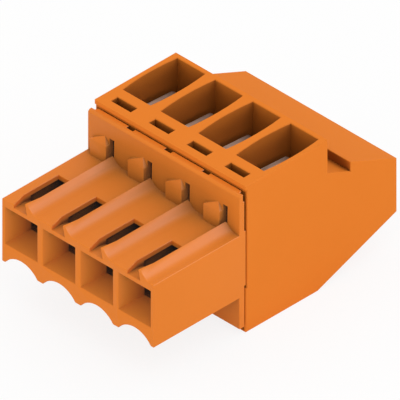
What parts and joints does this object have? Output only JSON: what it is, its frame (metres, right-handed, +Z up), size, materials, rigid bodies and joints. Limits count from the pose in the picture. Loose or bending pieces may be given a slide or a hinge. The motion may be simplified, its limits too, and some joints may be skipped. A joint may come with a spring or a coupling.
{
  "type": "socket header",
  "caption": "Pluggable wire-to-board socket connector with spring clamps: flanged plug with square pin openings in front, sloped clamp housing with screwdriver ports on top.",
  "frame": {"origin": "under the middle of the bounding box, on the plane of the clamp housing's flat underside", "axes": "+Z up out of the screwdriver ports, +Y out of the wire entries, -Y out of the pin openings, poles side by side along X"},
  "size_m": [0.014, 0.0226, 0.0117],
  "materials": {
    "front_plastic": "orange polyamide, moulded satin",
    "rear_plastic": "orange polyamide, moulded satin",
    "contact_metal": "tin-plated copper alloy, dull bright",
    "spring_steel": "bare stainless spring strip"
  },
  "bodies": {
    "housing": {"front_housing": "front_plastic", "rear_housing": "rear_plastic", "contact_1": "contact_metal", "contact_2": "contact_metal", "contact_3": "contact_metal", "contact_4": "contact_metal"},
    "spring_1": {"clamp_spring_1": "spring_steel"},
    "spring_2": {"clamp_spring_2": "spring_steel"},
    "spring_3": {"clamp_spring_3": "spring_steel"},
    "spring_4": {"clamp_spring_4": "spring_steel"}
  },
  "joints": [
    {"name": "clamp_1", "type": "hinge", "parent": "housing", "child": "spring_1", "pos_m": [-0.00525, -0.00032, 0.00835], "axis": [-1, 0, 0], "range_deg": [0, 25], "stiffness_Nm_per_rad": 0.15},
    {"name": "clamp_2", "type": "hinge", "parent": "housing", "child": "spring_2", "pos_m": [-0.00175, -0.00032, 0.00835], "axis": [-1, 0, 0], "range_deg": [0, 25], "stiffness_Nm_per_rad": 0.15},
    {"name": "clamp_3", "type": "hinge", "parent": "housing", "child": "spring_3", "pos_m": [0.00175, -0.00032, 0.00835], "axis": [-1, 0, 0], "range_deg": [0, 25], "stiffness_Nm_per_rad": 0.15},
    {"name": "clamp_4", "type": "hinge", "parent": "housing", "child": "spring_4", "pos_m": [0.00525, -0.00032, 0.00835], "axis": [-1, 0, 0], "range_deg": [0, 25], "stiffness_Nm_per_rad": 0.15}
  ]
}
